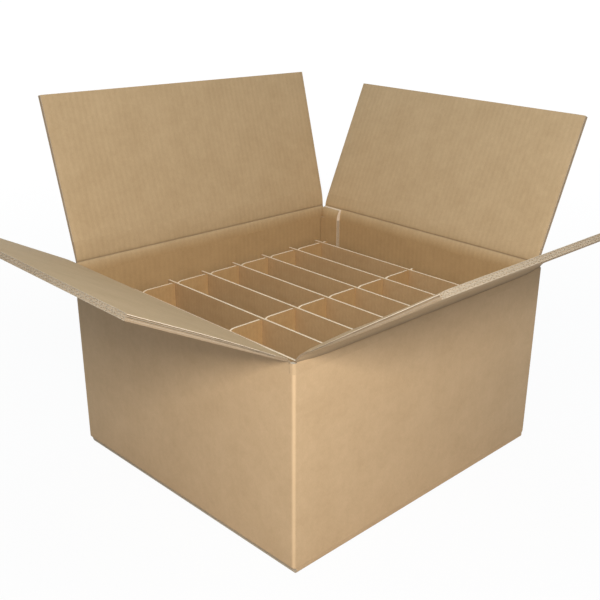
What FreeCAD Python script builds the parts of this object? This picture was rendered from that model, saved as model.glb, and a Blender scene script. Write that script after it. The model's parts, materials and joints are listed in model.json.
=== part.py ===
import FreeCAD, Part
import math
import os

# Folded case, measured outside its walls
length = 486.0
width = 446.0
fold_height = 276.3  # fold line of the two end flaps, above the ground
board = 7.0  # double-wall corrugated board
corner_radius = 4.0  # board bent round an upright corner or a bottom fold

# Crushed folds at the foot of the flaps
fold_skin = 1.2  # board left at the fold, between its outer face and the fold line
fold_clearance = 0.3
relief_length = 5.0  # outer face eased back on both sides of a fold
shoulder_radius = 8.0  # inner face rolling into the crushed fold

# Flaps
flap_seam = 1.0  # between the two long flaps when they are shut
long_flap_inset = 5.0  # ends of the long flaps, in from the outer corners
end_flap_gap = 0.4  # ends of the end flaps, in from the side walls
flap_layer_gap = 0.3  # between the shut end flaps and the long flaps over them
front_flap_angle = 57.9  # leaning out from upright as it stands open, in degrees
back_flap_angle = 14.7
left_flap_angle = 62.6
right_flap_angle = 24.7

# Flutes that show in the cut edges of the flaps
flute_pitch = 8.6
flute_mouth = 6.4  # an open flute, at its base
flute_depth = 4.0  # how far a flute is open behind the free edge
groove_depth = 2.0  # how far the flutes stand back from the side edges
liner_sheet = 0.9  # paper between and outside the two layers of flutes

# Glued corner joint inside the right wall
tab_width = 40.0
tab_taper = 2.0
tab_headroom = 6.5  # below the fold line of the end flap, which shuts over it
tab_foot_gap = 3.0

# Dividers that lock together over the floor
divider_board = 3.0
cross_count = 8
long_count = 3
divider_headroom = 54.3  # below the fold line of the end flaps
end_space = 20.0  # end wall to the middle of the first cross divider
side_space = 18.0  # side wall to the middle of the outer long divider
divider_end_gap = 1.5  # cross dividers to the side walls
tail_gap = 0.8  # long dividers to the glued tab
slot_play = 0.9  # each side of the divider in a slot
slot_depth_play = 1.0
lead_radius = 5.0  # rounded mouths of the slots
tail_radius = 4.5  # rounded ends of the long dividers

# Worked out from the sizes above
inner_length = length - 2 * board
inner_width = width - 2 * board
side_fold_height = fold_height + board + flap_layer_gap
floor_height = 2 * board
flap_length = min(length, width) / 2 - fold_skin - flap_seam / 2
rest_angles = {
    "front": front_flap_angle,
    "back": back_flap_angle,
    "left": left_flap_angle,
    "right": right_flap_angle,
}
flute_layers = [-fold_skin + liner_sheet, -fold_skin + board / 2 + liner_sheet / 2]
flute_height = (board - 3 * liner_sheet) / 2
mitre_shift = fold_clearance / math.sqrt(2)
mitre_height = board - fold_skin + mitre_shift
divider_height = fold_height - floor_height - divider_headroom
slot_width = divider_board + 2 * slot_play
slot_depth = divider_height / 2 + slot_depth_play
long_half = inner_length / 2 - board - tail_gap
cross_half = inner_width / 2 - divider_end_gap


def spread(count, span):
    """Middles of evenly spaced pieces, centred on zero."""
    return [span * (i / (count - 1) - 0.5) for i in range(count)]


cross_places = spread(cross_count, inner_length - 2 * end_space)
long_places = spread(long_count, inner_width - 2 * side_space)


def block(x, y, z):
    """Box between pairs of limits."""
    corner = FreeCAD.Vector(x[0], y[0], z[0])
    return Part.makeBox(x[1] - x[0], y[1] - y[0], z[1] - z[0], corner)


def outline(corners):
    """Closed face in the YZ plane from (y, z, radius) corners, each rounded by its radius."""
    starts, ends, mids = [], [], []
    for i, (y, z, radius) in enumerate(corners):
        here = FreeCAD.Vector(0, y, z)
        before = FreeCAD.Vector(0, *corners[i - 1][:2])
        after = FreeCAD.Vector(0, *corners[(i + 1) % len(corners)][:2])
        to_before = (before - here).normalize()
        to_after = (after - here).normalize()
        half_angle = to_before.getAngle(to_after) / 2
        reach = radius / math.tan(half_angle)
        starts.append(here + to_before * reach)
        ends.append(here + to_after * reach)
        middle = (to_before + to_after).normalize()
        mids.append(here + middle * (radius / math.sin(half_angle) - radius))
    edges = []
    for i, corner in enumerate(corners):
        if corner[2] > 0:
            edges.append(Part.Arc(starts[i], mids[i], ends[i]).toShape())
        following = starts[(i + 1) % len(corners)]
        if ends[i].distanceToPoint(following) > 1e-6:
            edges.append(Part.makeLine(ends[i], following))
    return Part.Face(Part.Wire(edges))


def along_x(face, half):
    """Profile in the YZ plane, drawn out along X to both sides of the middle."""
    face.translate(FreeCAD.Vector(-half, 0, 0))
    return face.extrude(FreeCAD.Vector(2 * half, 0, 0))


def fold_rod(radius, half):
    """Round bar on a fold line that runs along X through the origin."""
    return Part.makeCylinder(radius, 2 * half, FreeCAD.Vector(-half, 0, 0), FreeCAD.Vector(1, 0, 0))


def place_on_wall(shape, wall):
    """Moves a shape drawn on the front fold line, with Y inward, to the fold line of a wall."""
    turns = {"front": 0, "back": 180, "left": -90, "right": 90}
    side = wall in ("front", "back")
    reach = (width if side else length) / 2 - fold_skin
    shape.translate(FreeCAD.Vector(0, -reach, side_fold_height if side else fold_height))
    shape.rotate(FreeCAD.Vector(0, 0, 0), FreeCAD.Vector(0, 0, 1), turns[wall])
    return shape


def flute_mouths(half):
    """Open ends of the flutes along a flap's free edge, pointing in and out by turns in its two layers."""
    count = int(2 * (half - flute_pitch) / flute_pitch)
    mouths = []
    for low, base, tip in zip(flute_layers, (0, flute_height), (flute_height, 0)):
        for place in spread(count, (count - 1) * flute_pitch):
            foot = flap_length - flute_depth
            left = FreeCAD.Vector(place - flute_mouth / 2, low + base, foot)
            right = FreeCAD.Vector(place + flute_mouth / 2, low + base, foot)
            top = FreeCAD.Vector(place, low + tip, foot)
            mouth = Part.Face(Part.makePolygon([left, right, top, left]))
            mouths.append(mouth.extrude(FreeCAD.Vector(0, 0, 2 * flute_depth)))
    return mouths


def side_grooves(half):
    """Gaps between the paper sheets along a flap's two side edges, clear of the crushed foot."""
    start = mitre_height + shoulder_radius
    grooves = []
    for low in flute_layers:
        for side in (-1, 1):
            reach = sorted((side * (half - groove_depth), side * (half + groove_depth)))
            grooves.append(block(reach, (low, low + flute_height), (start, flap_length + flute_depth)))
    return grooves


def flap(wall):
    """One flap with its crushed foot, drawn upright and then leaned out to its angle of rest."""
    side = wall in ("front", "back")
    half = length / 2 - long_flap_inset if side else inner_width / 2 - end_flap_gap
    inner = board - fold_skin
    face = outline([
        (-fold_skin, relief_length, 0),
        (0, 0, 0),
        (0, mitre_shift, 0),
        (inner, mitre_height, shoulder_radius),
        (inner, flap_length, 0),
        (-fold_skin, flap_length, 0),
    ])
    solid = along_x(face, half).fuse(fold_rod(fold_skin, half)).removeSplitter()
    solid = solid.cut(Part.makeCompound(flute_mouths(half) + side_grooves(half)))
    solid.rotate(FreeCAD.Vector(0, 0, 0), FreeCAD.Vector(1, 0, 0), rest_angles[wall])
    return place_on_wall(solid, wall)


def fold_cut(wall):
    """Board taken off the top of a wall, down to its shoulder and the seat of the flap's foot."""
    side = wall in ("front", "back")
    half = length / 2 - long_flap_inset + end_flap_gap if side else inner_width / 2
    inner = board - fold_skin
    spare = 2 * board
    below = -mitre_height - shoulder_radius
    face = outline([
        (-fold_skin - spare, -relief_length, 0),
        (-fold_skin, -relief_length, 0),
        (0, 0, 0),
        (0, -mitre_shift, 0),
        (inner, -mitre_height, shoulder_radius),
        (inner, below, 0),
        (inner + fold_skin, below, 0),
        (inner + fold_skin, spare, 0),
        (-fold_skin - spare, spare, 0),
    ])
    seat = fold_rod(fold_skin + fold_clearance, half)
    return place_on_wall(along_x(face, half).fuse(seat), wall)


def corner_cut(side_x, side_y):
    """Slot between two flaps, cut down past the lower fold line."""
    x = sorted((side_x * (length / 2 - long_flap_inset + end_flap_gap), side_x * length))
    y = sorted((side_y * inner_width / 2, side_y * width))
    return block(x, y, (fold_height - fold_skin, 2 * side_fold_height))


def glued_tab():
    """Tab of the back wall, glued inside the right wall, with its ends cut on a taper."""
    back = inner_width / 2
    foot = floor_height + tab_foot_gap
    head = fold_height - tab_headroom
    face = outline([
        (back, foot, 0),
        (back, head, 0),
        (back - tab_width, head - tab_taper, 0),
        (back - tab_width, foot + tab_taper, 0),
    ])
    face.translate(FreeCAD.Vector(inner_length / 2 - board, 0, 0))
    return face.extrude(FreeCAD.Vector(board, 0, 0))


def joint_groove():
    """Outer groove where the back wall bends in behind the raw edge of the right wall."""
    right = inner_length / 2
    back = width / 2
    square = block(
        (right - corner_radius, right), (back - corner_radius, back), (0, side_fold_height))
    bend = Part.makeCylinder(
        corner_radius, side_fold_height, FreeCAD.Vector(right - corner_radius, back - corner_radius, 0))
    return square.cut(bend)


def rounded_case():
    """Outer block with its bent corners and bottom folds, stepped up under the end walls."""
    body = block((-length / 2, length / 2), (-width / 2, width / 2), (0, side_fold_height))
    for side in (-1, 1):
        end = sorted((side * (length / 2 - long_flap_inset), side * length))
        body = body.cut(block(end, (-width, width), (-board, board)))
    bends = []
    for edge in body.Edges:
        box = edge.BoundBox
        outer_x = abs(abs(box.Center.x) - length / 2) < 1e-6
        outer_y = abs(abs(box.Center.y) - width / 2) < 1e-6
        upright = box.ZLength > board and outer_x and outer_y
        side_fold = box.XLength > board and outer_y and box.ZMax < 1e-6
        end_fold = box.YLength > board and outer_x and abs(box.Center.z - board) < 1e-6
        if upright or side_fold or end_fold:
            bends.append(edge)
    return body.makeFillet(corner_radius, bends)


def box_shell():
    """Walls, glued tab and glued bottom flaps, folded from one sheet."""
    body = rounded_case()
    half_x = inner_length / 2
    half_y = inner_width / 2
    body = body.cut(block((-half_x, half_x), (-half_y, half_y), (floor_height, 2 * side_fold_height)))
    half_gap = length / 2 - fold_skin - flap_length
    body = body.cut(block((-half_gap, half_gap), (-half_y, half_y), (board, floor_height)))
    body = body.cut(block((-length, length), (-flap_seam / 2, flap_seam / 2), (0, board)))
    for wall in rest_angles:
        body = body.cut(fold_cut(wall))
    for side_x in (-1, 1):
        for side_y in (-1, 1):
            body = body.cut(corner_cut(side_x, side_y))
    body = body.cut(joint_groove())
    return body.fuse(glued_tab()).removeSplitter()


def slotted_strip(half, places, end_radius):
    """Divider in the YZ plane with slots down from its top edge, their mouths rounded."""
    corners = [(-half, 0, 0), (-half, divider_height, end_radius)]
    for place in places:
        for side in (-1, 1):
            mouth = (place + side * slot_width / 2, divider_height, lead_radius)
            foot = (place + side * slot_width / 2, divider_height - slot_depth, 0)
            corners += [mouth, foot] if side < 0 else [foot, mouth]
    corners += [(half, divider_height, end_radius), (half, 0, 0)]
    face = outline(corners)
    face.translate(FreeCAD.Vector(-divider_board / 2, 0, 0))
    return face.extrude(FreeCAD.Vector(divider_board, 0, 0))


def cross_divider(place):
    """Divider across the case, turned over so that its slots open downward."""
    strip = slotted_strip(cross_half, long_places, tail_radius)
    middle = FreeCAD.Vector(0, 0, divider_height / 2)
    strip.rotate(middle, FreeCAD.Vector(0, 1, 0), 180)
    strip.translate(FreeCAD.Vector(place, 0, floor_height))
    return strip


def long_divider(place):
    """Divider along the case, with its slots open upward."""
    strip = slotted_strip(long_half, cross_places, tail_radius)
    strip.rotate(FreeCAD.Vector(0, 0, 0), FreeCAD.Vector(0, 0, 1), -90)
    strip.translate(FreeCAD.Vector(0, place, floor_height))
    return strip


nodes = {"box_shell": box_shell()}
for wall in rest_angles:
    nodes[wall + "_flap"] = flap(wall)
for number, place in enumerate(cross_places, 1):
    nodes["cross_divider_%d" % number] = cross_divider(place)
for number, place in enumerate(long_places, 1):
    nodes["long_divider_%d" % number] = long_divider(place)

os.makedirs("parts", exist_ok=True)
for name, shape in nodes.items():
    shape.exportStep("parts/%s.step" % name)
    box = shape.BoundBox
    print(name, "valid", shape.isValid(), "solids", len(shape.Solids), "faces", len(shape.Faces),
          "volume %.0f" % shape.Volume, "z %.1f to %.1f" % (box.ZMin, box.ZMax))
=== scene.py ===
import bpy
import json
import math
from mathutils import Matrix, Vector, noise


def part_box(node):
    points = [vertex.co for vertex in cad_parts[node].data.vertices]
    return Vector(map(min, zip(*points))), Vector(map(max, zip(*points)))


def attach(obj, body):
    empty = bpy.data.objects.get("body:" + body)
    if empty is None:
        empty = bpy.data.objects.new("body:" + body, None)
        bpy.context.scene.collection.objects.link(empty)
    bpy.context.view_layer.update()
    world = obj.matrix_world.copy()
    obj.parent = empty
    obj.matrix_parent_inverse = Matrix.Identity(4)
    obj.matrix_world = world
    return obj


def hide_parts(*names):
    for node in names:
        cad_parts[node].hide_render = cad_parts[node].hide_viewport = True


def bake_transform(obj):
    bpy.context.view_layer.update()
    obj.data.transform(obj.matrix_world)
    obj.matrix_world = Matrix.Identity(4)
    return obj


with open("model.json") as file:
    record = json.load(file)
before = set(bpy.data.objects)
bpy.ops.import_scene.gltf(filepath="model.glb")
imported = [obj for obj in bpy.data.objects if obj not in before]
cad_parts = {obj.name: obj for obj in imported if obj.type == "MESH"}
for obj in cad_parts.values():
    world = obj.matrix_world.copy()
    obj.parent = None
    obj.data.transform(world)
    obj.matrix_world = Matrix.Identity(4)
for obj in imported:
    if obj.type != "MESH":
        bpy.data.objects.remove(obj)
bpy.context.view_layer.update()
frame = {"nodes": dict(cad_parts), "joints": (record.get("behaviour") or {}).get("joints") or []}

MM = 0.001

# Double-wall board of the case, and how it is layered
BOARD = 7.0 * MM
SKIN = 1.2 * MM  # fold line, in from the outer face
LINER = 0.65 * MM
FLUTE_PAPER = 0.55 * MM
FLUTE_PITCH = 8.6 * MM
FLUTE_STEPS = 12
OUTER_N = -SKIN
INNER_N = BOARD - SKIN
MIDDLE_N = (OUTER_N + INNER_N) / 2
CORNER_R = 4.0 * MM

# Single-wall board of the dividers
THIN_LINER = 0.6 * MM
THIN_PAPER = 0.3 * MM
THIN_PITCH = 6.4 * MM
THIN_STEPS = 8

# Folds between walls and flaps
TAB_WALL = "right"
RING_TOP = 262.0 * MM  # walls below this height are one ring of board
FOLD_REACH = 24.0 * MM  # how far a fold runs up its flap
CREASE_HEIGHT = 280.0 * MM  # the crease shows at one height all round
SLOT_FLOOR = 275.1 * MM  # bottom of the slots between the flaps
SLOT_SIDE = 5.0 * MM  # width of the slots between the flaps
CREASE_INNER = 2.4 * MM  # the crushed board's faces at the crease, in from the fold line
CREASE_OUTER = -0.5 * MM
BEND_REACH = 6.0 * MM  # a turning flap bends the board this far to each side of the fold line
CURVE_STEPS = (13, 9)  # points of a fold's section below and above its crease
FOLD_COLUMNS = 55
RAGGED = 0.25 * MM  # unevenness of the crease
RAGGED_WAVES = 60.0  # per metre
# DARK_REACH is how far shade is painted along a crease
RAGGED_REACH, DARK_REACH = 2.5, 1.1  # how far a crease is uneven and dark, in points of its section

# How far each flap's board is out of flat, in mm: twist at its free edge, and sag midway up
WARP = {"front": (0.8, -1.5), "back": (0.0, 0.0), "left": (1.5, 0.0), "right": (1.0, 0.0)}

# Share of a flap's thickness lost at its knife-cut side edges, and how much less of it is lost at the top
CRUSH = {"front": 0.35, "back": 0.15, "left": 0.1, "right": 0.15}
CRUSH_REACH = 5.0 * MM
CRUSH_FADE = 0.4

# The side of a flap that is pinched thin at the slot, and the share of thickness lost there
PINCH = {"front": (-1, 0.55), "left": (1, 0.45)}
PINCH_ACROSS, PINCH_UP = 38.0 * MM, 75.0 * MM  # how far the pinch reaches

# How far the outer crease hangs down in mid-length, and the inner crease is pinched down at its ends, in mm
FOLD_SAG = {"front": 6.5, "back": 0.0, "left": 0.0, "right": 0.0}
END_DROP = {"front": 4.0, "back": 0.0, "left": 1.5, "right": 0.0}
END_REACH = 25.0 * MM
END_HELD = 0.6  # share of the hanging that is missing at the ends

# Cut edges: how far the flutes stand back, and the sheets that close the gaps behind them
FLAP_COLUMNS, FLAP_ROWS = 37, 9
FLUTE_INSET = 0.3 * MM
FLUTE_BACK = 0.2 * MM
FREE_PLUG = 0.9 * MM
SIDE_PLUGS = (0.35 * MM, 1.8 * MM)  # in the outer and the inner gap
EDGE_STEPS = (0, 1.5, 3, 5, 8, 12)  # in mm from a side edge, where crushed board needs closer points

# Bottom flaps and glued tab
FLAP_DEPTH = 221.3 * MM
BOTTOM_SEAM = 0.5 * MM
TAB_WIDTH = 40.0 * MM
TAB_GAP = 1.6 * MM  # the dark bend beside the tab
TAB_TAPER = 2.0 * MM
TAB_FOOT = 17.0 * MM
TAB_CORE_BACK = 0.8 * MM
TAB_SQUEEZE = 0.45  # share of the tab's thickness lost towards the crease

# Slots of the dividers
SLOT_WIDTH = 4.2 * MM
SLOT_OVERLAP = 1.0 * MM  # a slot is this much deeper than half the height
LEAD_IN = (5.0 * MM, 5.0 * MM)  # rounding before each slot, along and down
LEAD_OUT = (10.0 * MM, 6.5 * MM)  # longer rounding after each slot
TAIL = (4.5 * MM, 4.5 * MM)  # rounding at a strip's ends
CORE_BACK = 0.15 * MM
THIN_FLAT = 0.4 * MM  # unfluted paper beside a slot
THIN_SHOWN = 1.6 * MM  # depth of the flutes that show at a long edge
THIN_BACK = 0.1 * MM

TURN_STEPS = 5  # in a quarter turn
FOOT_STEPS = 6  # in the rounded fold at the foot of a wall
WALL_ROWS, WALL_COLUMNS = 8, 9

# Places in a piece's list of materials
FACE, CUT, FLUTED, INSIDE, HIGHLIGHTED = range(5)

WALLS = ("front", "back", "left", "right")
SHUT = 90.0  # a flap lies over the box when it is turned this far in from upright
JOINTS = {j["name"]: j for j in frame["joints"]}
HALF_X, HALF_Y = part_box("box_shell")[1][:2]
IN_X, IN_Y = HALF_X - BOARD, HALF_Y - BOARD


class Piece:
    """Points, faces and board coordinates of a mesh that is being made."""

    def __init__(self):
        self.points, self.coords, self.dark, self.inside_shade_mask = [], [], [], []
        self.faces, self.slots = [], []

    def point(self, place, coord, dark=0.0, inside_shade_mask=0.0):
        """Adds a point. dark is over 0 where shade is painted into a crease and under 0 where a highlight is
        painted on a rounded corner. The last number is 1 where shade is painted inside the case.
        """
        self.points.append(tuple(place))
        self.coords.append(tuple(coord))
        self.dark.append(dark)
        self.inside_shade_mask.append(inside_shade_mask)
        return len(self.points) - 1

    def face(self, corners, slot):
        self.faces.append(corners)
        self.slots.append(slot)

    def grid(self, rows, slot, flip=False):
        """Quads between rows of point numbers."""
        for a, b in zip(rows, rows[1:]):
            for i in range(len(a) - 1):
                quad = (a[i], a[i + 1], b[i + 1], b[i])
                self.face(quad[::-1] if flip else quad, slot)

    def sheet(self, sides, slots):
        """A thin sheet closed at its edges. slots are for its two faces, its ends and its sides."""
        self.grid(sides[0], slots[0])
        self.grid(sides[1], slots[1], flip=True)
        for edge in (0, -1):
            self.grid([sides[0][edge], sides[1][edge]], slots[2], flip=edge == 0)
            self.grid([[row[edge] for row in side] for side in sides], slots[3], flip=edge == -1)

    def build(self, name, materials):
        """Makes the mesh object, with its board coordinates, painted crease shade, painted corner highlight
        and painted inside shade as attributes.
        """
        mesh = bpy.data.meshes.new(name)
        mesh.from_pydata(self.points, [], self.faces)
        for material in materials:
            mesh.materials.append(material)
        mesh.polygons.foreach_set("material_index", self.slots)
        coords = mesh.attributes.new("board", "FLOAT_VECTOR", "POINT")
        coords.data.foreach_set("vector", [c for p in self.coords for c in p])
        dark = mesh.attributes.new("crease", "FLOAT", "POINT")
        dark.data.foreach_set("value", self.dark)
        inside_shade_mask = mesh.attributes.new("inside", "FLOAT", "POINT")
        inside_shade_mask.data.foreach_set("value", self.inside_shade_mask)
        mesh.validate()
        piece = bpy.data.objects.new(name, mesh)
        bpy.context.scene.collection.objects.link(piece)
        mesh.shade_smooth()
        mesh.set_sharp_from_angle(angle=math.radians(35))
        return piece


def span(low, high, count):
    """Evenly spaced values, both ends among them."""
    return [low + (high - low) * i / (count - 1) for i in range(count)]


class Hinge:
    """A flap's fold line: u along it, n into the box, v up; the flap's own n and v lean with it."""

    def __init__(self, wall):
        joint = JOINTS[wall + "_fold"]
        self.wall = wall
        self.origin = Vector(joint["pos_m"])
        self.along = Vector(joint["axis"])
        self.up = Vector((0, 0, 1))
        self.inward = self.up.cross(self.along)
        self.lean = math.radians(-SHUT - joint["range_deg"][0])
        self.flap_up = self.up * math.cos(self.lean) - self.inward * math.sin(self.lean)
        self.flap_in = self.inward * math.cos(self.lean) + self.up * math.sin(self.lean)
        low, high = (Vector(c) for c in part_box(wall + "_flap"))
        self.half = (high - low).dot(Vector([abs(c) for c in self.along])) / 2
        solid = frame["nodes"][wall + "_flap"].data
        self.length = max((v.co - self.origin).dot(self.flap_up) for v in solid.vertices)
        self.long = wall in ("front", "back")

    def wall_point(self, u, n, v):
        return self.origin + self.along * u + self.inward * n + self.up * v

    def flap_point(self, u, n, v):
        return self.origin + self.along * u + self.flap_in * n + self.flap_up * v

    def to_wall(self, n, v):
        """A section point of the leaned flap, in the wall's n and v."""
        p = self.flap_in * n + self.flap_up * v
        return p.dot(self.inward), p.dot(self.up)


def warp(hinge, u, v):
    """How far a flap's board is out of flat. When shut, long flaps lift by it and end flaps sink."""
    twist, sag = WARP[hinge.wall]
    far = max(0.0, v / hinge.length)
    side = u / hinge.half
    clear = -twist if hinge.long else twist
    return ((clear - twist * side) * far + sag * math.sin(math.pi * far)) * MM


def beside_end(hinge, u, reach):
    """One at a flap's side edges, falling off over the reach."""
    return math.exp(-(((hinge.half - abs(u)) / reach) ** 2))


def thickness(hinge, u, v):
    """Share of a flap's full thickness, less beside its side edges and least at a pinched corner."""
    crushed = CRUSH[hinge.wall] * (1 - CRUSH_FADE * max(0.0, v / hinge.length))
    crushed *= beside_end(hinge, u, CRUSH_REACH)
    side, pinch = PINCH.get(hinge.wall, (0, 0.0))
    if u * side > 0:
        crushed += pinch * beside_end(hinge, u, PINCH_ACROSS) * math.exp(-((v / PINCH_UP) ** 2))
    return 1 - crushed


def sinking(hinge, u, share):
    """How far the crease sinks below its own height, at a share of the way from outer to inner face."""
    end = beside_end(hinge, u, END_REACH)
    hanging = FOLD_SAG[hinge.wall] * (1 - END_HELD * end) * (1 - share)
    return (hanging + END_DROP[hinge.wall] * end * share) * MM


def across(half, count):
    """Positions along a fold, closer together beside its ends."""
    near = [half - d * MM for d in EDGE_STEPS]
    return [-u for u in near] + span(-near[-1], near[-1], count)[1:-1] + near[::-1]


def liner(piece, place, us, vs, n0, n1, slots):
    """A sheet of even thickness between two depths."""
    piece.sheet([[[piece.point(place(u, n, v), (u, v, n)) for u in us] for v in vs] for n in (n0, n1)], slots)


def flutes(piece, place, us, v_low, v_high, rows, n_mid, swing, paper, pitch, phase=0.0):
    """A fluted sheet whose waves run along v, with raw paper at its cut ends."""
    sides = []
    for half in (-paper / 2, paper / 2):
        side = []
        for k in range(rows):
            row = []
            for u in us:
                low, high = v_low(u), v_high(u)
                v = low + (high - low) * k / (rows - 1)
                n = n_mid + swing * math.sin(2 * math.pi * u / pitch + phase) + half
                row.append(piece.point(place(u, n, v), (u, v, n)))
            side.append(row)
        sides.append(side)
    piece.sheet(sides, (FLUTED, FLUTED, CUT, CUT))


def steps(low, high, step):
    """Evenly spaced values about a step apart."""
    return span(low, high, max(2, round((high - low) / step) + 1))


def double_wall_stack(piece, place, half, v_low, v_high, rows):
    """Three liners and two fluted sheets, with a shallow stop in the gaps behind the cut edges."""
    us = across(half, FLAP_COLUMNS)
    vs = span(v_low, v_high, rows)
    liner(piece, place, us, vs, OUTER_N, OUTER_N + LINER, (FACE, FLUTED, CUT, FLUTED))
    liner(piece, place, us, vs, MIDDLE_N - LINER / 2, MIDDLE_N + LINER / 2, (FLUTED, FLUTED, CUT, FLUTED))
    # The inner liner's side edges get a painted highlight
    liner(piece, place, us, vs, INNER_N - LINER, INNER_N, (FLUTED, INSIDE, CUT, HIGHLIGHTED))
    room = (INNER_N - OUTER_N - 3 * LINER) / 2
    swing = (room - FLUTE_PAPER) / 2
    at_edge = 2 * math.pi * half / FLUTE_PITCH
    outer_mid, inner_mid = OUTER_N + LINER + room / 2, INNER_N - LINER - room / 2
    phases = (math.pi - at_edge, 1.2 * math.pi - at_edge)
    columns = steps(-half + FLUTE_INSET, half - FLUTE_INSET, FLUTE_PITCH / FLUTE_STEPS)
    for n_mid, phase, side_plug in zip((outer_mid, inner_mid), phases, SIDE_PLUGS):
        flutes(piece, place, columns, lambda u: v_low, lambda u: v_high - FLUTE_BACK, rows,
               n_mid, swing, FLUTE_PAPER, FLUTE_PITCH, phase)
        depths = (n_mid - room / 2, n_mid + room / 2)
        piece.grid([[piece.point(place(u, n, v_high - FREE_PLUG), (u, v_high, n_mid)) for u in us]
                    for n in depths], CUT)
        for end in (side_plug - half, half - side_plug):
            piece.grid([[piece.point(place(end, n, v), (v, n_mid, 0)) for v in vs] for n in depths], FLUTED)


def bezier(a, b, c, d, count):
    """Section points on a curve from a to d that b and c pull."""
    points = []
    for t in span(0.0, 1.0, count):
        s = 1 - t
        points.append(tuple(
            s * s * s * a[k] + 3 * s * s * t * b[k] + 3 * s * t * t * c[k] + t * t * t * d[k]
            for k in (0, 1)))
    return points


def fold_curves(hinge):
    """Inner and outer faces of the crushed board over the fold, as section points in the wall's frame."""
    foot = RING_TOP - hinge.origin.z
    crease_v = CREASE_HEIGHT - hinge.origin.z
    below, above = CURVE_STEPS
    if hinge.long:
        inner_crease, outer_crease = (CREASE_INNER, crease_v), (CREASE_OUTER, crease_v - 1.0 * MM)
    else:
        inner_crease = hinge.to_wall(CREASE_INNER, crease_v)
        outer_crease = hinge.to_wall(CREASE_OUTER, crease_v)
    roll_low = (INNER_N, foot * 0.45 + inner_crease[1] * 0.55)
    roll_high = (inner_crease[0] + 2.0 * MM, inner_crease[1] - 2.6 * MM)
    inner = bezier((INNER_N, foot), roll_low, roll_high, inner_crease, below)
    lip = (inner_crease[0] + 0.9 * MM, inner_crease[1] + 1.2 * MM)
    rise = hinge.to_wall(INNER_N - 0.4 * MM, FOLD_REACH * 0.45)
    inner += bezier(inner_crease, lip, rise, hinge.to_wall(INNER_N, FOLD_REACH), above)[1:]
    straight = (OUTER_N, foot * 0.5 + outer_crease[1] * 0.5)
    near = (OUTER_N, outer_crease[1] - 3.0 * MM)
    outer = bezier((OUTER_N, foot), straight, near, outer_crease, below)
    turn = hinge.to_wall(OUTER_N, 3.0 * MM)
    far = hinge.to_wall(OUTER_N, FOLD_REACH * 0.5)
    outer += bezier(outer_crease, turn, far, hinge.to_wall(OUTER_N, FOLD_REACH), above)[1:]
    return inner, outer, below - 1


def fold_piece(hinge, materials):
    """The crushed board between a wall and its flap: three liners pinched together at the crease."""
    piece = Piece()
    inner, outer, crease_row = fold_curves(hinge)
    whole = across(hinge.half, FOLD_COLUMNS)

    def strip(us, curve_low, curve_high, slots, shaded_crease):
        """A sheet between two section curves."""
        sides = []
        for curve in (curve_low, curve_high):
            side = []
            for k, (n, v) in enumerate(curve):
                # Shade is painted along the crease of the outer and inner liners
                dark = math.exp(-((k - crease_row) / DARK_REACH) ** 2) if shaded_crease else 0.0
                ragged = RAGGED * math.exp(-((k - crease_row) / RAGGED_REACH) ** 2)
                # Shade and warm bounce light are painted inside the case, fading out towards the crease
                inside_shade_mask = max(0.0, 1 - k / crease_row)
                lean = min(1.0, max(0.0, (k - crease_row) / (len(curve) - 1 - crease_row)))
                base_n, base_v = outer[k]
                gap = math.hypot(inner[k][0] - base_n, inner[k][1] - base_v)
                share = min(1.0, math.hypot(n - base_n, v - base_v) / gap)
                weight = (k / crease_row) ** 2 if k <= crease_row else (1 - lean) ** 2
                row = []
                for u in us:
                    shift = ragged * noise.noise(Vector((u * RAGGED_WAVES, hinge.origin.z * 9, 1.7)))
                    thin = 1 - (1 - thickness(hinge, u, FOLD_REACH)) * lean
                    shift -= sinking(hinge, u, share) * weight
                    here = hinge.wall_point(u, base_n + (n - base_n) * thin,
                                            base_v + (v - base_v) * thin + shift)
                    here += hinge.flap_in * warp(hinge, u, FOLD_REACH) * lean
                    row.append(piece.point(here, (u, hinge.origin.z + v, n), dark, inside_shade_mask))
                side.append(row)
            sides.append(side)
        piece.sheet(sides, slots)

    def between(share, thick):
        """Both faces of a sheet at a share of the way from the outer to the inner curve."""
        low, high = [], []
        for (ni, vi), (no, vo) in zip(inner, outer):
            gap = math.hypot(ni - no, vi - vo)
            near = share - thick / gap / 2
            far = share + thick / gap / 2
            low.append((no + (ni - no) * near, vo + (vi - vo) * near))
            high.append((no + (ni - no) * far, vo + (vi - vo) * far))
        return low, high

    def inside(curve, other, thick):
        """A curve moved by a thickness towards the other."""
        moved = []
        for (n, v), (m, w) in zip(curve, other):
            gap = math.hypot(m - n, w - v)
            moved.append((n + (m - n) * thick / gap, v + (w - v) * thick / gap))
        return moved

    strip(whole, outer, inside(outer, inner, LINER), (FACE, FLUTED, FLUTED, FLUTED), True)
    strip(whole, *between(0.5, LINER), (FLUTED, FLUTED, FLUTED, FLUTED), False)
    strip(whole, inside(inner, outer, LINER), inner, (FLUTED, INSIDE, CUT, CUT), True)
    # The crushed core fills the gaps, a little back from the side edges
    recess = 0.5 * MM
    filled = [recess - hinge.half] + whole[1:-1] + [hinge.half - recess]
    strip(filled, inside(outer, inner, LINER * 0.6), inside(inner, outer, LINER * 0.6),
          (FLUTED, FLUTED, FLUTED, FLUTED), False)
    if hinge.wall == TAB_WALL:
        low = inner[:crease_row - 1]
        squeeze = [1 - TAB_SQUEEZE * (k / crease_row) ** 2 for k in range(crease_row - 1)]
        high = [(n + BOARD * share, v) for (n, v), share in zip(low, squeeze)]
        # The tab's cut ends get a painted highlight
        strip(span(IN_Y - TAB_WIDTH, IN_Y - TAB_GAP, 9), low, high, (INSIDE, INSIDE, HIGHLIGHTED, HIGHLIGHTED), False)
    made = piece.build(hinge.wall + "_fold_board", materials)
    start = hinge.wall_point(0, 0, -BEND_REACH)
    end = hinge.flap_point(0, 0, BEND_REACH)
    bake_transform(made)


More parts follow.
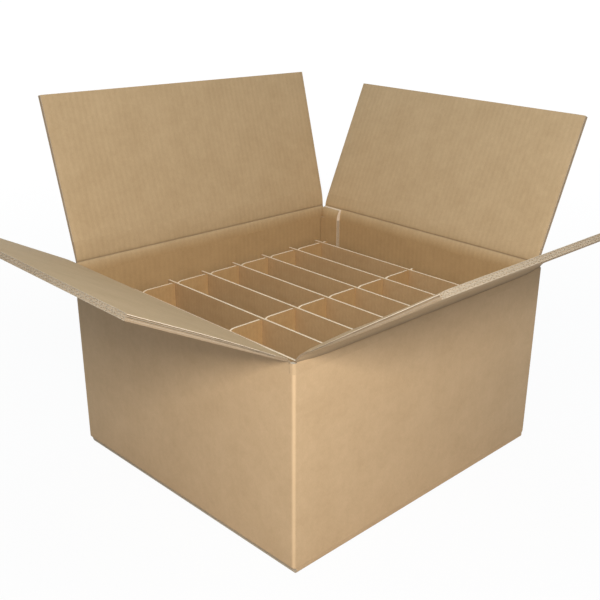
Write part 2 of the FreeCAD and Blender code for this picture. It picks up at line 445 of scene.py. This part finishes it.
def flap_piece(hinge, materials):
    """One flap from the top of its fold to its free edge."""
    piece = Piece()
    twist = WARP[hinge.wall][0]

    def place(u, n, v):
        return hinge.flap_point(u, OUTER_N + (n - OUTER_N) * thickness(hinge, u, v) + warp(hinge, u, v), v)

    # A long flap's twist would carry its free edge out of the solids' box, so that edge is cut back as far
    cut_back = abs(2 * twist * MM / math.tan(hinge.lean)) if hinge.long else 0.0
    double_wall_stack(piece, place, hinge.half, FOLD_REACH, hinge.length - cut_back, FLAP_ROWS)
    made = piece.build(hinge.wall + "_flap_board", materials)
    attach(made, hinge.wall + "_flap")
    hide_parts(hinge.wall + "_flap")


def case_ring(piece):
    """The four walls below the folds, with their bent corners and the rounded fold under each end wall."""
    def loop(half_x, half_y, z):
        centres = [(half_x - CORNER_R, half_y - CORNER_R, 0), (-half_x + CORNER_R, half_y - CORNER_R, 1),
                   (-half_x + CORNER_R, -half_y + CORNER_R, 2), (half_x - CORNER_R, -half_y + CORNER_R, 3)]
        row, walked, last = [], 0.0, None
        for x, y, turn in centres:
            for k in range(TURN_STEPS + 1):
                angle = math.pi / 2 * (turn + k / TURN_STEPS)
                place = Vector((x + CORNER_R * math.cos(angle), y + CORNER_R * math.sin(angle), z))
                walked += (place - last).length if last else 0.0
                last = place
                # A highlight is painted along each rounded corner, strongest at its middle
                painted_corner_highlight = -math.sin(math.pi * k / TURN_STEPS)
                row.append(piece.point(place, (walked, z, 0), painted_corner_highlight))
        closing = Vector(piece.points[row[0]])
        row.append(piece.point(closing, (walked + (closing - last).length, z, 0)))
        return row

    rows = []
    for k in range(FOOT_STEPS + 1):
        angle = math.pi / 2 * k / FOOT_STEPS
        rows.append(loop(HALF_X - CORNER_R * (1 - math.sin(angle)), HALF_Y,
                         BOARD + CORNER_R * (1 - math.cos(angle))))
    for z in span(BOARD + CORNER_R, RING_TOP, WALL_ROWS)[1:]:
        rows.append(loop(HALF_X, HALF_Y, z))
    piece.grid(rows, FACE)
    corners = [(IN_X, IN_Y), (-IN_X, IN_Y), (-IN_X, -IN_Y), (IN_X, -IN_Y), (IN_X, IN_Y)]
    for (x0, y0), (x1, y1) in zip(corners, corners[1:]):
        # The inner faces carry painted shade and painted bounce light, being inside the case
        rows = []
        for z in span(2 * BOARD, RING_TOP, WALL_ROWS):
            rows.append([piece.point((x0 + (x1 - x0) * t, y0 + (y1 - y0) * t, z),
                                     (x0 + y0 + (x1 - x0 + y1 - y0) * t, z, 1), 0, 1)
                         for t in span(0, 1, WALL_COLUMNS)])
        piece.grid(rows, INSIDE)


def prism(piece, outline, place, low, high, slots, inside_shade_mask=0.0):
    """A flat outline drawn out between two depths. slots are for its two faces and its rim."""
    ends = [[piece.point(place(a, b, depth), (a, b, depth), 0, inside_shade_mask) for a, b in outline]
            for depth in (low, high)]
    piece.face(ends[0], slots[0])
    piece.face(ends[1][::-1], slots[0])
    piece.grid([row + row[:1] for row in ends], slots[1])


def corner_post(piece, side_x, side_y):
    """The corner above the ring, up to the floor of the slot between two flaps."""
    inner_x = HALF_X - SLOT_SIDE
    outline = [(inner_x, IN_Y), (inner_x, HALF_Y)]
    for k in range(TURN_STEPS + 1):
        angle = math.pi / 2 * (1 - k / TURN_STEPS)
        outline.append((HALF_X - CORNER_R + CORNER_R * math.cos(angle),
                        HALF_Y - CORNER_R + CORNER_R * math.sin(angle)))
    outline.append((HALF_X, IN_Y))

    def place(a, b, z):
        return side_x * a, side_y * b, z

    prism(piece, outline, place, RING_TOP, SLOT_FLOOR, (CUT, FACE))


def bottom_flaps(piece):
    """Two outer flaps that meet at a seam under the case, and two inner flaps glued over them."""
    for side in (-1, 1):
        outline = [(BOTTOM_SEAM, 0.0), (HALF_Y - CORNER_R, 0.0)]
        for k in range(1, FOOT_STEPS + 1):
            angle = math.pi / 2 * k / FOOT_STEPS
            outline.append((HALF_Y - CORNER_R * (1 - math.sin(angle)), CORNER_R * (1 - math.cos(angle))))
        outline += [(HALF_Y, BOARD), (BOTTOM_SEAM, BOARD)]
        end = HALF_X - SLOT_SIDE
        prism(piece, outline, lambda a, b, x: (x, side * a, b), -end, end, (CUT, FACE))
        near = HALF_X - FLAP_DEPTH - SKIN
        outline = [(near, BOARD), (IN_X, BOARD), (IN_X, 2 * BOARD), (near, 2 * BOARD)]
        # The inner flaps carry painted shade and painted bounce light inside the case
        prism(piece, outline, lambda a, b, y: (side * a, y, b), -IN_Y, IN_Y, (CUT, INSIDE), 1.0)


def glued_tab(piece):
    """The tab inside the right wall, up to the fold, with its cut edge open between the liners."""
    near, far, back = IN_Y - TAB_GAP, IN_Y - TAB_WIDTH, TAB_CORE_BACK
    outline = [(near, TAB_FOOT), (near, RING_TOP), (far, RING_TOP), (far, TAB_FOOT + TAB_TAPER)]

    def place(y, z, x):
        return x, y, z

    low = IN_X - BOARD
    middle_low = low + BOARD / 2 - LINER / 2
    # The tab's liners carry painted shade inside the case, and their rims a painted highlight
    for sheet_low in (low, middle_low, IN_X - LINER):
        prism(piece, outline, place, sheet_low, sheet_low + LINER, (INSIDE, HIGHLIGHTED), 1.0)
    core = [(near - back, TAB_FOOT + back), (near - back, RING_TOP),
            (far + back, RING_TOP), (far + back, TAB_FOOT + TAB_TAPER + back)]
    prism(piece, core, place, low + LINER / 2, IN_X - LINER / 2, (CUT, CUT))


def case_piece(materials):
    """The walls, bottom flaps and glued tab, as one piece in place of the shell."""
    piece = Piece()
    case_ring(piece)
    for side_x in (-1, 1):
        for side_y in (-1, 1):
            corner_post(piece, side_x, side_y)
    bottom_flaps(piece)
    glued_tab(piece)
    made = piece.build("case_board", materials)
    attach(made, "box")
    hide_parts("box_shell")


def quarter(corner_u, top, rounding, start):
    """Points of a quarter oval inside a corner, clockwise from the start angle in quarters."""
    wide, high = rounding
    centre = corner_u + wide if start == 2 else corner_u - wide
    angles = [math.pi / 2 * (start - k / TURN_STEPS) for k in range(TURN_STEPS + 1)]
    return [(centre + wide * math.cos(a), top - high + high * math.sin(a)) for a in angles]


def strip_outline(half, slots, depth, height, back=0.0):
    """A divider with slots down from its top edge, rounded at their mouths and at its ends.

    back is how far it is drawn in all round.
    """
    half, top = half - back, height - back
    outline = [(-half, back)] + quarter(-half, top, TAIL, 2)
    for s in slots:
        left, right = s - SLOT_WIDTH / 2 - back, s + SLOT_WIDTH / 2 + back
        outline += quarter(left, top, LEAD_IN, 1)
        outline += [(left, height - depth - back), (right, height - depth - back)]
        outline += quarter(right, top, TAIL if s == slots[-1] else LEAD_OUT, 2)
    outline += quarter(half, top, TAIL, 1) + [(half, back)]
    return outline


def rounding(u, ends):
    """How far the top edge of a strip drops near its rounded ends."""
    drop = 0.0
    for end, (wide, high) in ends:
        reach = 1 - abs(u - end) / wide
        if reach > 0:
            drop = max(drop, high * (1 - math.sqrt(max(0.0, 1 - reach * reach))))
    return drop


def middle(name, axis):
    """The middle of a node along one axis."""
    low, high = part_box(name)
    return (low[axis] + high[axis]) / 2


def divider_piece(name, along, through, slots, turned, materials):
    """A slotted strip of single-wall board: two liners, flute ends at its long edges and the core between."""
    low, high = (Vector(c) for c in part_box(name))
    centre = (low + high) / 2
    half = (high - low).dot(along) / 2
    height = high.z - low.z
    depth = height / 2 + SLOT_OVERLAP
    thick = (high - low).dot(through)

    def place(u, z, n):
        level = height - z if turned else z
        return centre + along * u + through * n + Vector((0, 0, low.z + level - centre.z))

    def upright(u, n, z):
        """The same with its arguments in the order that flutes gives them."""
        return place(u, z, n)

    piece = Piece()
    outline = strip_outline(half, slots, depth, height)
    for n0, n1 in ((-thick / 2, -thick / 2 + THIN_LINER), (thick / 2 - THIN_LINER, thick / 2)):
        prism(piece, outline, place, n0, n1, (FACE, CUT))
    inside = thick / 2 - THIN_LINER / 2
    prism(piece, strip_outline(half, slots, depth, height, CORE_BACK), place, -inside, inside, (CUT, CUT))
    swing = (thick - 2 * THIN_LINER - THIN_PAPER) / 2
    edges = [-half + THIN_FLAT]
    for s in slots:
        edges += [s - SLOT_WIDTH / 2 - THIN_FLAT, s + SLOT_WIDTH / 2 + THIN_FLAT]
    edges.append(half - THIN_FLAT)
    for start, stop in zip(edges[::2], edges[1::2]):
        short = edges[0] == start or edges[-1] == stop
        ends = [(start, TAIL if short else LEAD_OUT), (stop, TAIL if stop == edges[-1] else LEAD_IN)]
        flutes(piece, upright, steps(start, stop, THIN_PITCH / THIN_STEPS),
               lambda u: height - rounding(u, ends) - THIN_SHOWN,
               lambda u: height - rounding(u, ends) - THIN_BACK, 2, 0.0, swing, THIN_PAPER, THIN_PITCH)
    flutes(piece, upright, steps(edges[0], edges[-1], THIN_PITCH / THIN_STEPS),
           lambda u: THIN_BACK, lambda u: THIN_SHOWN, 2, 0.0, swing, THIN_PAPER, THIN_PITCH)
    made = piece.build(name + "_board", materials)
    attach(made, "box")
    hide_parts(name)


def rgb(r, g, b):
    """A colour written as seen on a screen, 11 to 255, turned linear."""
    return tuple(((c / 255 + 0.055) / 1.055) ** 2.4 for c in (r, g, b)) + (1.0,)


def board_material(name, light, dark, pitch, stripe, bump=0.25, painted_inside_shade=None):
    """Kraft paper over flutes: cloudy colour, fibres, faint flute lines, painted shade in creases and a
    painted highlight on rounded corners.

    stripe is the strength of the flute lines. The inside tint multiplies the colour where it faces into the
    case, as painted shade and painted warm bounce light.
    """
    rough, rough_swing = 0.64, 0.12
    # Share and level of the painted shade in creases and of the painted highlight on rounded corners
    crease_shade_share, corner_highlight_share = 0.7, 0.45
    crease_shade_level, corner_highlight_level = 0.45, 1.3
    relief_depth = 0.2 * MM
    material = bpy.data.materials.new(name)
    material.use_nodes = True
    tree = material.node_tree
    nodes = tree.nodes
    shader = nodes["Principled BSDF"]
    shader.inputs["Specular IOR Level"].default_value = 0.5
    coords = nodes.new("ShaderNodeAttribute")
    coords.attribute_name = "board"
    parts = nodes.new("ShaderNodeSeparateXYZ")
    tree.links.new(coords.outputs["Vector"], parts.inputs[0])

    def noise_of(scale, stretch, detail, distortion=0.0):
        mapping = nodes.new("ShaderNodeMapping")
        mapping.inputs["Scale"].default_value = stretch
        tree.links.new(coords.outputs["Vector"], mapping.inputs["Vector"])
        texture = nodes.new("ShaderNodeTexNoise")
        texture.inputs["Scale"].default_value = scale
        texture.inputs["Detail"].default_value = detail
        texture.inputs["Distortion"].default_value = distortion
        tree.links.new(mapping.outputs["Vector"], texture.inputs["Vector"])
        return texture.outputs["Fac"]

    def maths(kind, a, b=None, c=None):
        node = nodes.new("ShaderNodeMath")
        node.operation = kind
        for socket, value in zip(node.inputs, (a, b, c)):
            if value is None:
                continue
            if isinstance(value, (int, float)):
                socket.default_value = value
            else:
                tree.links.new(value, socket)
        return node.outputs[0]

    # Clouds tens of mm wide, blotches a few mm wide and fibres, then the flute lines, which come and go
    clouds = noise_of(22, (1, 1, 1), 3)
    blotches = noise_of(110, (1, 0.8, 1), 4, 0.3)
    fibres = noise_of(900, (1, 0.35, 1), 3)
    wave = maths("SINE", maths("MULTIPLY", parts.outputs["X"], 2 * math.pi / pitch))
    tone = maths("MULTIPLY_ADD", maths("SUBTRACT", clouds, 0.5), 0.75, 0.5)
    tone = maths("MULTIPLY_ADD", maths("SUBTRACT", blotches, 0.5), 0.7, tone)
    tone = maths("MULTIPLY_ADD", maths("SUBTRACT", fibres, 0.5), 0.8, tone)
    uneven = maths("MULTIPLY", noise_of(9, (1, 0.15, 1), 2), 2 * stripe)
    tone = maths("MULTIPLY_ADD", wave, uneven, tone)
    mix = nodes.new("ShaderNodeMix")
    mix.data_type = "RGBA"
    tree.links.new(tone, mix.inputs["Factor"])
    mix.inputs["A"].default_value = dark
    mix.inputs["B"].default_value = light
    shade = mix.outputs["Result"]
    # Painted shade and painted warm bounce light inside the case
    if painted_inside_shade:
        inside = nodes.new("ShaderNodeAttribute")
        inside.attribute_name = "inside"
        tint = nodes.new("ShaderNodeMix")
        tint.data_type = "RGBA"
        tint.blend_type = "MULTIPLY"
        tree.links.new(inside.outputs["Fac"], tint.inputs["Factor"])
        tree.links.new(shade, tint.inputs["A"])
        tint.inputs["B"].default_value = painted_inside_shade
        shade = tint.outputs["Result"]
    # Painted shade darkens the creases and a painted highlight lightens the rounded corners, both read from
    # the crease attribute
    crease = nodes.new("ShaderNodeAttribute")
    crease.attribute_name = "crease"
    painted_crease_shade = nodes.new("ShaderNodeMix")
    painted_crease_shade.data_type = "RGBA"
    tree.links.new(maths("MULTIPLY", crease.outputs["Fac"], crease_shade_share), painted_crease_shade.inputs["Factor"])
    tree.links.new(shade, painted_crease_shade.inputs["A"])
    painted_crease_shade.inputs["B"].default_value = tuple(c * crease_shade_level for c in dark[:3]) + (1.0,)
    painted_corner_highlight = nodes.new("ShaderNodeMix")
    painted_corner_highlight.data_type = "RGBA"
    tree.links.new(maths("MULTIPLY", crease.outputs["Fac"], -corner_highlight_share), painted_corner_highlight.inputs["Factor"])
    tree.links.new(painted_crease_shade.outputs["Result"], painted_corner_highlight.inputs["A"])
    painted_corner_highlight.inputs["B"].default_value = tuple(min(1.0, c * corner_highlight_level) for c in light[:3]) + (1.0,)
    tree.links.new(painted_corner_highlight.outputs["Result"], shader.inputs["Base Color"])
    tree.links.new(maths("MULTIPLY_ADD", blotches, rough_swing, rough), shader.inputs["Roughness"])
    height = maths("MULTIPLY_ADD", wave, 1.2 * stripe, maths("MULTIPLY", fibres, 0.6))
    relief = nodes.new("ShaderNodeBump")
    relief.inputs["Strength"].default_value = bump
    relief.inputs["Distance"].default_value = relief_depth
    tree.links.new(height, relief.inputs["Height"])
    tree.links.new(relief.outputs["Normal"], shader.inputs["Normal"])
    return material


def floor_material(name, colour, share):
    """A pale floor that the camera sees as the background, with some real shading near the box.

    share is how much of the background shows in that shading, which is there for the box's shadow.
    """
    near, far = 0.6, 2.5  # metres from the box's middle, between which the shading fades out
    white = 1.02  # a little over, so that it comes out as pure white
    material = bpy.data.materials.new(name)
    material.use_nodes = True
    tree = material.node_tree
    nodes = tree.nodes
    shader = nodes["Principled BSDF"]
    shader.inputs["Base Color"].default_value = colour
    shader.inputs["Roughness"].default_value = 0.9
    shader.inputs["Specular IOR Level"].default_value = 0.1
    glow = nodes.new("ShaderNodeEmission")
    glow.inputs["Color"].default_value = (1, 1, 1, 1)
    glow.inputs["Strength"].default_value = white
    seen = nodes.new("ShaderNodeLightPath")
    mix = nodes.new("ShaderNodeMixShader")
    spot = nodes.new("ShaderNodeNewGeometry")
    away = nodes.new("ShaderNodeVectorMath")
    away.operation = "LENGTH"
    tree.links.new(spot.outputs["Position"], away.inputs[0])
    fade = nodes.new("ShaderNodeMapRange")
    fade.inputs["From Min"].default_value = near
    fade.inputs["From Max"].default_value = far
    fade.inputs["To Min"].default_value = share
    fade.inputs["To Max"].default_value = 1.0
    tree.links.new(away.outputs["Value"], fade.inputs["Value"])
    amount = nodes.new("ShaderNodeMath")
    amount.operation = "MULTIPLY"
    tree.links.new(fade.outputs["Result"], amount.inputs[1])
    tree.links.new(seen.outputs["Is Camera Ray"], amount.inputs[0])
    tree.links.new(amount.outputs[0], mix.inputs["Fac"])
    tree.links.new(shader.outputs["BSDF"], mix.inputs[1])
    tree.links.new(glow.outputs["Emission"], mix.inputs[2])
    tree.links.new(mix.outputs["Shader"], nodes["Material Output"].inputs["Surface"])
    return material


def make_floor():
    """A level floor that runs beyond the horizon of every view."""
    size = 30.0
    corners = [(-size, -size, 0), (size, -size, 0), (size, size, 0), (-size, size, 0)]
    mesh = bpy.data.meshes.new("floor")
    mesh.from_pydata(corners, [], [(0, 1, 2, 3)])
    mesh.materials.append(floor_material("floor_paint", colour=(0.6, 0.6, 0.6, 1), share=0.93))
    floor = bpy.data.objects.new("floor", mesh)
    bpy.context.scene.collection.objects.link(floor)


def make_world(colour, level):
    """Soft light from all round, white where it is seen or mirrored."""
    world = bpy.data.worlds.new("surround")
    bpy.context.scene.world = world
    world.use_nodes = True
    tree = world.node_tree
    nodes = tree.nodes
    soft = nodes["Background"]
    soft.inputs["Color"].default_value = colour
    soft.inputs["Strength"].default_value = level
    white = nodes.new("ShaderNodeBackground")
    white.inputs["Color"].default_value = (1, 1, 1, 1)
    white.inputs["Strength"].default_value = 1.0
    seen = nodes.new("ShaderNodeLightPath")
    either = nodes.new("ShaderNodeMath")
    either.operation = "MAXIMUM"
    either.use_clamp = True
    tree.links.new(seen.outputs["Is Camera Ray"], either.inputs[0])
    tree.links.new(seen.outputs["Is Glossy Ray"], either.inputs[1])
    mix = nodes.new("ShaderNodeMixShader")
    tree.links.new(either.outputs[0], mix.inputs["Fac"])
    tree.links.new(soft.outputs["Background"], mix.inputs[1])
    tree.links.new(white.outputs["Background"], mix.inputs[2])
    tree.links.new(mix.outputs["Shader"], nodes["World Output"].inputs["Surface"])


def make_lamp(name, place, target, size, power, colour):
    """A square soft lamp that faces its target."""
    lamp = bpy.data.lights.new(name, "AREA")
    lamp.color = colour
    lamp.shape = "SQUARE"
    lamp.size = size
    lamp.energy = power
    holder = bpy.data.objects.new(name, lamp)
    bpy.context.scene.collection.objects.link(holder)
    holder.location = place
    holder.rotation_euler = (Vector(target) - Vector(place)).to_track_quat("-Z", "Y").to_euler()


def make_camera(place, heading, tilt, roll, focal_px, middle_px):
    """A camera turned by its heading from +X, its tilt below the horizon and its roll, in degrees."""
    frame_px = 600
    camera = bpy.data.cameras.new("camera")
    camera.sensor_width = 36.0
    camera.lens = focal_px / frame_px * camera.sensor_width
    camera.shift_x = (frame_px / 2 - middle_px[0]) / frame_px
    camera.shift_y = (middle_px[1] - frame_px / 2) / frame_px
    holder = bpy.data.objects.new("camera", camera)
    bpy.context.scene.collection.objects.link(holder)
    aim = Matrix.Rotation(math.radians(heading - 90), 4, "Z")
    aim @= Matrix.Rotation(math.radians(90 - tilt), 4, "X")
    holder.matrix_world = Matrix.Translation(place) @ aim @ Matrix.Rotation(math.radians(roll), 4, "Z")
    bpy.context.scene.camera = holder


OUTER_PAPER = board_material("outer_kraft", rgb(206, 174, 134), rgb(186, 154, 114), FLUTE_PITCH, 0.012)
# Inside the case the inner paper is darkened and warmed as painted shade and painted bounce light
INNER_PAPER = board_material("inner_kraft", rgb(197, 168, 128), rgb(176, 147, 107), FLUTE_PITCH, 0.07,
                             painted_inside_shade=(0.90, 0.82, 0.69, 1))
CUT_EDGE = board_material("cut_edge", rgb(190, 173, 149), rgb(168, 151, 127), FLUTE_PITCH, 0.0, 0.5)
# The inner liner's cut edge, lighter than the other cut edges as a painted highlight
HIGHLIGHT_EDGE = board_material("highlit_cut_edge", rgb(244, 226, 202), rgb(224, 202, 174), FLUTE_PITCH, 0.0, 0.5)
# The fluting's colour, made darker as painted shade on the side edges of the outer and middle liners and in
# the flute mouths
FLUTE = board_material("fluting", rgb(178, 154, 124), rgb(152, 128, 100), FLUTE_PITCH, 0.0, 0.4)
CROSS_PAPER = board_material("cross_kraft", rgb(196, 162, 118), rgb(174, 139, 95), THIN_PITCH, 0.05)
# The long dividers are the same board as the cross ones; their warmer colour is painted light, for the
# different light on their faces
LONG_PAPER = board_material("long_kraft", rgb(198, 160, 110), rgb(176, 137, 88), THIN_PITCH, 0.05)
THIN_EDGE = board_material("divider_edge", rgb(250, 232, 204), rgb(228, 204, 170), THIN_PITCH, 0.0, 0.5)

# Outer face, cut edge, fluting darkened with painted shade, inner face, and the inner liner's cut edge with a
# painted highlight
CASE = [OUTER_PAPER, CUT_EDGE, FLUTE, INNER_PAPER, HIGHLIGHT_EDGE]
case_piece(CASE)
for wall in WALLS:
    hinge = Hinge(wall)
    fold_piece(hinge, CASE)
    flap_piece(hinge, CASE)

X_AXIS, Y_AXIS = Vector((1, 0, 0)), Vector((0, 1, 0))
CROSS = [name for name in sorted(frame["nodes"]) if name.startswith("cross_divider_")]
LONG = [name for name in sorted(frame["nodes"]) if name.startswith("long_divider_")]
for name in CROSS:
    divider_piece(name, Y_AXIS, X_AXIS, [middle(n, 1) for n in LONG], True, [CROSS_PAPER, THIN_EDGE, FLUTE])
for name in LONG:
    divider_piece(name, X_AXIS, Y_AXIS, [middle(n, 0) for n in CROSS], False, [LONG_PAPER, THIN_EDGE, FLUTE])

make_floor()
make_world(colour=(0.86, 0.97, 1.10, 1), level=0.27)
make_lamp("key", place=(-1.0, -1.15, 1.05), target=(-0.05, -0.1, 0.2), size=0.3, power=23,
          colour=(1.0, 0.99, 0.97))
make_lamp("top", place=(0.2, 0.3, 2.6), target=(0, 0, 0), size=2.0, power=16,
          colour=(0.78, 1.0, 1.2))
make_camera(place=(-0.8308, -0.8532, 0.6740), heading=42.73, tilt=22.60, roll=1.69,
            focal_px=889.2, middle_px=(355, 331))
bpy.context.scene.view_settings.view_transform = "Standard"
